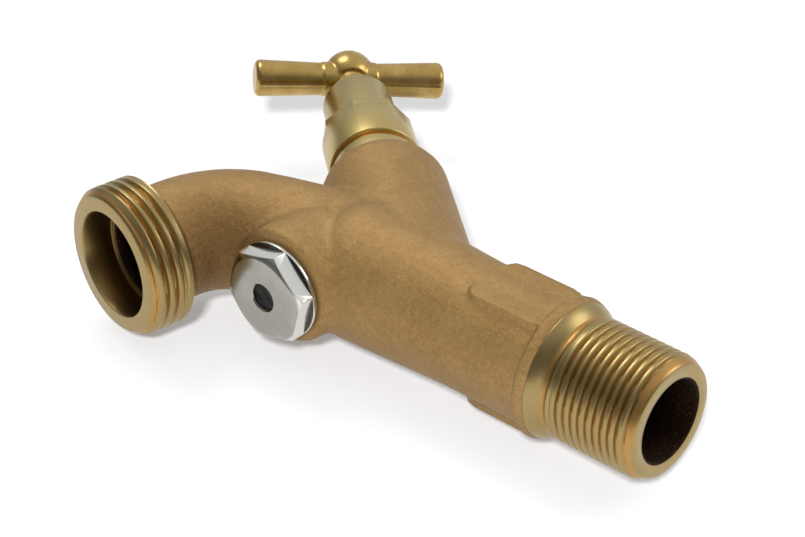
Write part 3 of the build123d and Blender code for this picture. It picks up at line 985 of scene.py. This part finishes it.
@dataclass
class Body:
    """The casting with its two cut threads, in millimetres.

    An outline is a row of radius and height pairs. Skin and spout are the places
    along X beyond which the cast skin is smoothed, and rounds how often.
    """

    voxel: float = 0.45
    inlet_cut: float = 25.0
    outlet_cut: float = 10.5
    skin: float = -24.0
    spout: float = -48.0
    hollow_depth: float = 0.012
    skin_rounds: int = 5
    spout_rounds: int = 28
    uneven_size: float = 3.2
    uneven_height: float = 0.13
    faces_kept: float = 0.68
    neck_edge: tuple = (
        (9.95, 36.4),
        (14.45, 36.4),
        (14.45, 38.6),
        (13.6, 41.2),
        (12.9, 42.0),
        (11.9, 42.45),
        (9.95, 42.45),
    )
    boss_round: tuple = (11.3, -14.9, 1.8)
    bore: float = 8.8
    collar_front: tuple = (
        (12.52, 21.3),
        (12.52, 22.1),
        (12.86, 22.55),
        (13.37, 23.0),
        (13.8, 23.5),
        (14.14, 24.0),
        (14.45, 24.5),
        (14.64, 24.85),
        (14.66, 25.0),
        (14.3, 25.5),
    )
    ring_back: tuple = ((16.0, 10.3), (15.7, 10.6), (12.4, 10.6), (12.4, 11.4), (10.1, 11.4))
    counterbore: tuple = ((9.8, 10.4), (9.8, 7.7), (10.0, 7.5), (11.5, 7.5), (11.73, 7.3))
    inlet_thread: Thread = Thread(13.22, 1.814, 0.6, 20.6, 12.0, 2.5, 11.9)
    outlet_thread: Thread = Thread(16.625, 2.309, 0.6, 9.8, 15.15, 2.0, 15.0)

    def build(self, frame: dict) -> list:
        """Builds the casting and both thread pieces.


        Returns:
            The three pieces.
        """
        pieces = [self.casting(frame["nodes"]["body"]), self.inlet(), self.outlet()]
        finish = {"colour": linear(162, 142, 95), "warm": linear(150, 119, 67), "roughness": 0.27}
        # crest and root mark the groove that gets painted shade; recess and bore get painted shade
        # too
        at_inlet = {"crest": 13.1, "root": 12.2, "bore": 9.2}
        at_outlet = {"crest": 16.4, "root": 15.3, "recess": 11.9, "bore": 10.3}
        finishes = (
            CastBronze(),
            TurnedMetal("cut_inlet", INLET, **finish, **at_inlet),
            TurnedMetal("cut_outlet", OUTLET, **finish, **at_outlet),
        )
        for piece, look in zip(pieces, finishes):
            piece.data.materials.append(look.material())
        return pieces

    def casting(self, node: bpy.types.Object) -> bpy.types.Object:
        """Makes the cast skin out of the solid's shape.

        Args:
            node: the body's node.

        Returns:
            The piece.
        """
        piece = Bench.copy_of(node, "cast_body")
        Bench.trim(piece, INLET.point(0, self.inlet_cut), -INLET.along)
        Bench.trim(piece, OUTLET.point(0, self.outlet_cut), -OUTLET.along)
        for ring in self.shoulders():
            Bench.join(piece, ring)
        Bench.voxels(piece, self.voxel)
        along = MeshData(piece).places[:, 0] / MM
        Bench.smooth_places(piece, along < self.skin, 1)
        hollows = MeshData(piece).hollows(self.hollow_depth, 3)
        Bench.smooth_places(piece, hollows & (along < self.skin), self.skin_rounds)
        Bench.smooth_places(piece, hollows & (along < self.spout), self.spout_rounds)
        Bench.smooth_places(piece, along < self.skin, 1)
        uneven = bpy.data.textures.new("sand_mould", "CLOUDS")
        uneven.noise_scale = self.uneven_size * MM
        uneven.noise_depth = 3
        height = self.uneven_height * MM
        Bench.apply(piece, "DISPLACE", texture=uneven, texture_coords="LOCAL", strength=height)
        Bench.apply(piece, "DECIMATE", ratio=self.faces_kept)
        Bench.round_off(piece)
        return piece

    def shoulders(self) -> list:
        """The full rounds of the neck's and the boss's outer edges."""
        foot, centre, size = self.boss_round
        boss = [(foot - 1.0, centre + 1.4), (foot + size, centre + 1.4)]
        boss += [(foot + size * cos(a), centre - size * sin(a)) for a in np.linspace(0, pi / 2, 9)]
        boss.append((foot - 1.0, centre - size))
        neck = Bench.turned("neck_edge", BONNET, list(self.neck_edge), 96)
        return [neck, Bench.turned("boss_edge", VENT, boss, 96)]

    def inlet(self) -> bpy.types.Object:
        """The threaded inlet spigot, from its face to the collar's machined front."""
        outline = [(self.bore, 0.35), (self.bore + 0.35, 0.0), (11.75, 0.0), (12.0, 0.12)]
        outline += [(12.3, 0.6), *self.inlet_thread.outline()]
        outline += [*self.collar_front, (9.2, 25.5), (self.bore, 25.1)]
        return self.threaded("inlet_spigot", INLET, outline, 224, self.inlet_thread)

    def outlet(self) -> bpy.types.Object:
        """The threaded outlet ring with its counterbore."""
        outline = [(11.73, 0.35), (12.0, 0.0), (14.9, 0.0), (15.15, 0.12)]
        outline += self.outlet_thread.outline()
        outline += [*self.ring_back, *self.counterbore]
        return self.threaded("outlet_ring", OUTLET, outline, 256, self.outlet_thread)

    @staticmethod
    def threaded(
        name: str, axle: Axle, outline: list, steps: int, thread: Thread
    ) -> bpy.types.Object:
        """Turns a piece and cuts its thread.

        Args:
            name: the piece's name.
            axle: its axis.
            outline: radius and height pairs.
            steps: faces round the piece.
            thread: its thread.

        Returns:
            The piece.
        """
        piece = Bench.turned(name, axle, outline, steps)
        thread.cut(piece, axle)
        Bench.smooth(piece, 48.0)
        return piece


@dataclass
class Bonnet:
    """The turned bonnet: flange, groove, barrel, a band of eight flats and a plain top."""

    tail_radius: float = 9.15
    bottom: float = 33.8
    flange: float = 43.45
    flange_radius: float = 10.4
    groove: tuple = (49.3, 51.2)
    groove_radius: float = 9.65
    barrel_radius: float = 10.65
    band: tuple = (63.3, 66.4)
    flats: float = 19.7
    turn: float = radians(4.0)
    neck_radius: float = 8.2
    cone_foot: float = 80.5
    cone_radius: float = 5.6
    top: float = 86.0
    thread_bore: float = 6.0
    thread_bore_top: float = 54.6
    shaft_bore: float = 4.05
    wiper: tuple = (5.25, 81.0, 82.5)

    def build(self) -> bpy.types.Object:
        """Turns the barrel, mills the flats and dresses it."""
        outline = [
            (self.thread_bore, self.bottom),
            (self.tail_radius, self.bottom),
            (self.tail_radius, self.flange),
            (self.flange_radius, self.flange),
            (self.flange_radius, self.groove[0] - 0.25),
            (self.flange_radius - 0.25, self.groove[0]),
            (self.groove_radius, self.groove[0] + 0.2),
            (self.groove_radius, self.groove[1] - 0.1),
            (self.barrel_radius - 0.2, self.groove[1]),
            (self.barrel_radius, self.groove[1] + 0.2),
            (self.barrel_radius, self.band[1]),
            (self.neck_radius + 0.15, self.band[1]),
            (self.neck_radius, self.band[1] + 0.15),
            (self.neck_radius, self.cone_foot),
            (self.cone_radius, self.top),
            (self.shaft_bore + 0.3, self.top),
            (self.shaft_bore, self.top - 0.3),
            (self.shaft_bore, self.wiper[2]),
            (self.wiper[0], self.wiper[2]),
            (self.wiper[0], self.wiper[1]),
            (self.shaft_bore, self.wiper[1]),
            (self.shaft_bore, self.thread_bore_top),
            (self.thread_bore, self.thread_bore_top),
        ]
        piece = Bench.turned("bonnet_barrel", BONNET, outline, 160)
        for side in range(8):
            Bench.combine(piece, self.cutter(self.turn + side * pi / 4), Cut.TAKE_AWAY)
        Bench.soften(piece, 0.12)
        finish = {"colour": linear(190, 170, 110), "warm": linear(174, 150, 92), "stain": 0.35}
        rings = {"roughness": 0.28, "ring_mm": 0.2, "ring_depth_mm": 0.002}
        # the groove gets the painted warm shade of a thread's groove
        groove = {"crest": 10.3, "root": 9.75, "groove_end": self.groove[1] + 0.1}
        brass = TurnedMetal("turned_brass", BONNET, **finish, **rings, **groove)
        piece.data.materials.append(brass.material())
        return piece

    def cutter(self, turn: float) -> bpy.types.Object:
        """A block that mills one flat.

        Args:
            turn: angle of the flat round the bonnet's axis.

        Returns:
            The block.
        """
        width, thick = 14.0, 6.0
        rise = self.band[1] + 1.0 - self.band[0]
        bpy.ops.object.select_all(action="DESELECT")
        bpy.ops.mesh.primitive_cube_add(size=1.0, location=(0, 0, 0))
        block = bpy.context.object
        out = (BONNET.point(1, 0, turn) - BONNET.origin) / MM
        side = BONNET.along.cross(out)
        axes = Matrix((out * thick, side * width, BONNET.along * rise)).transposed() * MM
        centre = BONNET.point(self.flats / 2 + thick / 2, self.band[0] + rise / 2, turn)
        block.data.transform(Matrix.Translation(centre) @ axes.to_4x4())
        return block


@dataclass
class Handle:
    """The T-bar cast in one with its ball."""

    foot: float = 90.8
    centre: float = 95.1
    ball_radius: float = 6.25
    length: float = 45.4
    drop: float = 1.5
    shift: float = -0.3
    turn: float = radians(6.0)
    hub_radius: float = 3.9
    end_radius: float = 4.4
    end_round: float = 1.3
    collar_radius: float = 4.15
    collar_end: float = 6.45
    screw_face: float = 100.4
    screw_radius: float = 3.05
    seam_height: float = 0.2
    seam_turn: float = radians(174.0)
    seam_width: float = 0.22
    seam_end: float = 0.8
    seam_least_radius: float = 2.5
    hollow_depth: float = 0.006
    hollow_rounds: int = 8
    voxel: float = 0.2

    def bar_axle(self) -> Axle:
        """The bar's axis."""
        side = Vector((0, 1, 0))
        way = BONNET.radial * cos(self.turn) + side * sin(self.turn)
        origin = BONNET.origin / MM + BONNET.along * (self.centre - self.drop) + way * self.shift
        return Axle(tuple(origin), way, BONNET.along)

    def build(self) -> bpy.types.Object:
        """Turns the ball and the bar, joins them and adds the parting seam."""
        low = -(self.centre - self.foot)
        size = self.ball_radius
        arc = np.linspace(np.arcsin(low / size), pi / 2, 26)
        ball = [(0.0, self.centre + low)]
        ball += [(size * cos(a), self.centre + size * sin(a)) for a in arc]
        piece = Bench.turned("t_bar_handle", BONNET, ball, 96)
        above = self.screw_face + 5.0
        seat = [(0.0, self.screw_face), (self.screw_radius, self.screw_face)]
        seat += [(self.screw_radius, above), (0.0, above)]
        Bench.combine(piece, Bench.turned("seat_tool", BONNET, seat, 64), Cut.TAKE_AWAY)
        axle = self.bar_axle()
        Bench.combine(piece, Bench.turned("bar", axle, self.bar_outline(), 96), Cut.ADD)
        Bench.voxels(piece, self.voxel)
        every = np.ones(len(piece.data.vertices), dtype=bool)
        Bench.smooth_places(piece, every, 2)
        hollows = MeshData(piece).hollows(self.hollow_depth, 2)
        Bench.smooth_places(piece, hollows, self.hollow_rounds)
        self.raise_seam(piece, axle)
        Bench.round_off(piece)
        piece.data.materials.append(ForgedBrass().material())
        return piece

    def bar_outline(self) -> list:
        """Outline of the bar from one end to the other."""
        half = self.length / 2
        corner = half - self.end_round
        inner, size = self.end_radius - self.end_round, self.end_round
        arc = np.linspace(0, pi / 2, 7)
        outer = [(inner + size * sin(a), corner + size * cos(a)) for a in arc]
        outer += [(self.hub_radius, self.collar_end), (self.collar_radius, self.collar_end)]
        right = [(0.0, half)] + outer
        left = [(radius, -height) for radius, height in reversed(right)]
        return right + left

    def raise_seam(self, piece: bpy.types.Object, axle: Axle) -> None:
        """Raises the parting seam along the bar.

        Args:
            piece: the handle.
            axle: the bar's axis.
        """
        data = MeshData(piece)
        radius, height, turn = data.turned_places(axle)
        beside = ((turn - self.seam_turn + pi / 2) % pi - pi / 2) * radius
        out = np.abs(height)
        on_bar = (out > self.collar_end) & (out < self.length / 2 - self.seam_end)
        on_bar = on_bar & (radius > self.seam_least_radius)
        ridge = np.exp(-((beside / self.seam_width) ** 2)) * on_bar
        data.set_radius(axle, radius + ridge * self.seam_height)


@dataclass
class VentPlug:
    """The coned hexagon with its flange and air hole."""

    flats: float = 18.85
    face: float = -22.2
    hex_thick: float = 4.2
    turn: float = radians(45.4)
    flat_radius: float = 8.9
    cone: float = radians(25.0)
    flange_radius: float = 10.87
    flange_thick: float = 0.8
    thread_radius: float = 8.95
    wall_top: float = -8.8
    floor: float = -19.0
    cavity_radius: float = 7.2
    hole_radius: float = 2.97
    hole_chamfer: float = 0.3
    lip: tuple = (3.6, 4.3, 0.4)

    def build(self) -> bpy.types.Object:
        """Makes the hexagon, its flange and its hollow skirt."""
        corner = self.flats / sqrt(3)
        top = self.face + self.hex_thick
        bpy.ops.object.select_all(action="DESELECT")
        depth = (self.hex_thick + 0.2) * MM
        bpy.ops.mesh.primitive_cylinder_add(vertices=6, radius=corner * MM, depth=depth)
        piece = bpy.context.object
        piece.name = "vent_hexagon"
        spot = VENT.point(0, self.face + self.hex_thick / 2 + 0.1)
        turned = Matrix.Rotation(self.turn + pi / 2, 4, "Z")
        piece.data.transform(Matrix.Translation(spot) @ turned)
        piece.matrix_world = Matrix.Identity(4)
        rise = (corner + 1.0 - self.flat_radius) * tan(self.cone)
        cone = [
            (0.0, self.face),
            (self.flat_radius, self.face),
            (corner + 1.0, self.face + rise),
            (corner + 1.0, top + 1.0),
            (0.0, top + 1.0),
        ]
        Bench.combine(piece, Bench.turned("cone_tool", VENT, cone, 128), Cut.KEEP_COMMON)
        flange_top = top + self.flange_thick
        skirt = [
            (0.0, top),
            (self.flange_radius, top),
            (self.flange_radius, flange_top),
            (self.thread_radius, flange_top),
            (self.thread_radius, self.wall_top),
            (0.0, self.wall_top),
        ]
        Bench.combine(piece, Bench.turned("skirt", VENT, skirt, 128), Cut.ADD)
        inner, outer, rise = self.lip
        hollow = [
            (0.0, self.face - 0.5),
            (self.hole_radius + self.hole_chamfer, self.face - 0.5),
            (self.hole_radius + self.hole_chamfer, self.face),
            (self.hole_radius, self.face + self.hole_chamfer),
            (self.hole_radius, self.floor),
            (inner, self.floor),
            (inner, self.floor + rise),
            (outer, self.floor + rise),
            (outer, self.floor),
            (self.cavity_radius, self.floor),
            (self.cavity_radius, self.wall_top + 1.0),
            (0.0, self.wall_top + 1.0),
        ]
        Bench.combine(piece, Bench.turned("hollow_tool", VENT, hollow, 96), Cut.TAKE_AWAY)
        Bench.soften(piece, 0.12, 20.0)
        steel = PlugSteel(face_height=self.face, flange_height=top, rim_radius=self.flange_radius)
        piece.data.materials.append(steel.material())
        return piece


class Insides:
    """The frame's own nodes that stay, each with its finish."""

    def dress(self, frame: dict) -> None:
        """Gives every remaining node a material.
        """
        stainless = Stainless().material()
        bright, warm = linear(226, 196, 124), linear(198, 150, 74)
        brass = TurnedMetal("spindle_brass", BONNET, bright, warm, 0.22).material()
        rubber = SoftStuff("rubber", linear(38, 38, 38), linear(52, 51, 49), 0.5, 0.4).material()
        fibre = SoftStuff("fibre", linear(132, 58, 44), linear(104, 42, 32), 0.6, 0.3).material()
        dark, grey = linear(46, 46, 48), linear(58, 57, 58)
        acetal = SoftStuff("dark_plastic", dark, grey, 0.45, 0.4).material()
        pale, white = linear(226, 224, 216), linear(236, 234, 228)
        plastic = SoftStuff("white_plastic", pale, white, 0.34, 0.5).material()
        finishes = {
            **dict.fromkeys(("seat_ring", "plate_clip", "handle_screw", "vent_spring"), stainless),
            **dict.fromkeys(("spindle", "valve_plate", "cup_washer", "washer_nut"), brass),
            **dict.fromkeys(("spindle_o_rings", "valve_washer"), rubber),
            **dict.fromkeys(("vent_seal", "vent_gasket"), rubber),
            **dict.fromkeys(("wiper_ring", "vent_cage"), plastic),
            "bonnet_gasket": fibre,
            "vent_disc": acetal,
        }
        for name, material in finishes.items():
            node = frame["nodes"][name]
            for place in node.material_slots:
                place.material = material
            if not node.material_slots:
                node.data.materials.append(material)
            log.info("dressed %s", name)


# Set
@dataclass(frozen=True)
class Lamp:
    """A soft round lamp that looks at the tap.

    The way is its direction from the tap in camera terms: right, up and towards the
    camera. Distance and size are in metres, power in watts.
    """

    name: str
    way: tuple
    distance: float
    size: float
    power: float
    colour: tuple = (1.0, 1.0, 1.0)
    in_reflections: bool = True


@dataclass
class Studio:
    """Camera, floor and light."""

    eye_mm: tuple = (221.27, -284.60, -319.69)
    right: tuple = (0.7447, -0.0018, 0.6673)
    forward: tuple = (-0.5582, 0.5463, 0.6245)
    lens: float = 110.26
    sensor: float = 36.0
    floor_mm: float = 19.0
    floor_size: float = 4.0
    floor_colour: tuple = (0.45, 0.45, 0.46)
    floor_glow: float = 0.28
    room: tuple = (0.22, 0.8)
    room_span: tuple = (0.05, 0.85)
    bright_side: tuple = (-0.1, -0.79, 0.6)
    middle_mm: tuple = (-62.0, 0.0, 3.0)
    lamps: tuple = (
        Lamp("key", (-0.306, 0.951, 0.03), 0.9, 0.38, 2.2, (1.0, 0.99, 0.98)),
        Lamp("side", (0.83, 0.51, 0.22), 0.7, 0.34, 0.8),
        Lamp("front", (-0.08, 0.11, 1.0), 1.2, 0.13, 24.0, in_reflections=False),
    )

    def axes(self) -> tuple:
        """Right, up and back of the camera as unit vectors."""
        right = Vector(self.right).normalized()
        back = -Vector(self.forward).normalized()
        up = back.cross(right).normalized()
        return right, up, up.cross(right) * -1.0

    def camera(self) -> None:
        """Stands the camera where the photographer's was."""
        right, up, back = self.axes()
        data = bpy.data.cameras.new("camera")
        data.lens = self.lens
        data.sensor_width = self.sensor
        data.sensor_fit = "HORIZONTAL"
        data.clip_start = 0.01
        data.clip_end = 20.0
        camera = bpy.data.objects.new("camera", data)
        bpy.context.scene.collection.objects.link(camera)
        turn = Matrix((right, up, back)).transposed().to_4x4()
        camera.matrix_world = Matrix.Translation(Vector(self.eye_mm) * MM) @ turn
        bpy.context.scene.camera = camera

    def floor(self) -> None:
        """Lays the pale floor that the tap lies on."""
        bpy.ops.object.select_all(action="DESELECT")
        bpy.ops.mesh.primitive_plane_add(size=self.floor_size)
        floor = bpy.context.object
        floor.name = "floor"
        floor.data.transform(Matrix.Rotation(pi / 2, 4, "X"))
        floor.data.transform(Matrix.Translation(Vector((0, self.floor_mm, 0)) * MM))
        g = Graph("pale_floor")
        plain = g.principled(Base_Color=self.floor_colour, Roughness=0.9, Specular_IOR_Level=0.0)
        seen = g.source("ShaderNodeLightPath", "Is Camera Ray")
        seen = seen + g.source("ShaderNodeLightPath", "Is Glossy Ray")
        glow = g.node("ShaderNodeEmission", {}, {"Strength": seen * self.floor_glow})
        both = g.node("ShaderNodeAddShader", {}, {0: plain, 1: glow})
        clear = g.node("ShaderNodeBsdfTransparent", {}, {})
        behind = g.source("ShaderNodeNewGeometry", "Backfacing")
        shader = g.node("ShaderNodeMixShader", {}, {0: behind, 1: both, 2: clear})
        g.end("ShaderNodeOutputMaterial", shader)
        floor.data.materials.append(g.material)

    def hang(self, plan: Lamp) -> None:
        """Hangs a lamp.

        Args:
            plan: the lamp.
        """
        right, up, back = self.axes()
        out = (right * plan.way[0] + up * plan.way[1] + back * plan.way[2]).normalized()
        data = bpy.data.lights.new(plan.name, "AREA")
        data.shape = "DISK"
        data.size = plan.size
        data.energy = plan.power
        data.color = plan.colour
        lamp = bpy.data.objects.new(plan.name, data)
        bpy.context.scene.collection.objects.link(lamp)
        place = Matrix.Translation(Vector(self.middle_mm) * MM + out * plan.distance)
        lamp.matrix_world = place @ out.to_track_quat("Z", "Y").to_matrix().to_4x4()
        lamp.visible_glossy = plan.in_reflections

    def surround(self) -> None:
        """Makes the surroundings: white for the camera, a room with one bright side for the tap."""
        world = bpy.data.worlds.new("white_room")
        bpy.context.scene.world = world
        world.use_nodes = True
        g = Nodes(world.node_tree)
        way = g.source("ShaderNodeTexCoord", "Generated")
        room = g.vector("DOT_PRODUCT", way, self.bright_side).step(*self.room_span, *self.room)
        seen = g.source("ShaderNodeLightPath", "Is Camera Ray")
        strength = g.node("ShaderNodeMix", {}, {0: seen, 2: room, 3: 1.0})
        glow = g.node("ShaderNodeBackground", {}, {"Color": (1, 1, 1, 1), "Strength": strength})
        g.end("ShaderNodeOutputWorld", glow)

    def set_up(self) -> None:
        """Builds the whole set."""
        self.camera()
        self.floor()
        for plan in self.lamps:
            self.hang(plan)
        self.surround()
        bpy.context.scene.view_settings.view_transform = "Standard"


def main() -> None:
    """Builds the scene in order."""
    logging.basicConfig(level=logging.INFO, format="%(name)s: %(message)s")
    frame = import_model()
    Studio().set_up()
    stands_for = [(piece, "body", "root", "cast_bronze") for piece in Body().build(frame)]
    stands_for += [
        (Bonnet().build(), "bonnet", "root", "turned_brass"),
        (Handle().build(), "handle", "spindle_and_handle", "forged_brass"),
        (VentPlug().build(), "vent_plug", "root", "stainless"),
    ]
    Insides().dress(frame)
    for piece, node, carrier, slot in stands_for:
        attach(piece, carrier)
        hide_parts(node)
        log.info("%s has %d faces", piece.name, len(piece.data.polygons))


if __name__ == "__main__":
    main()
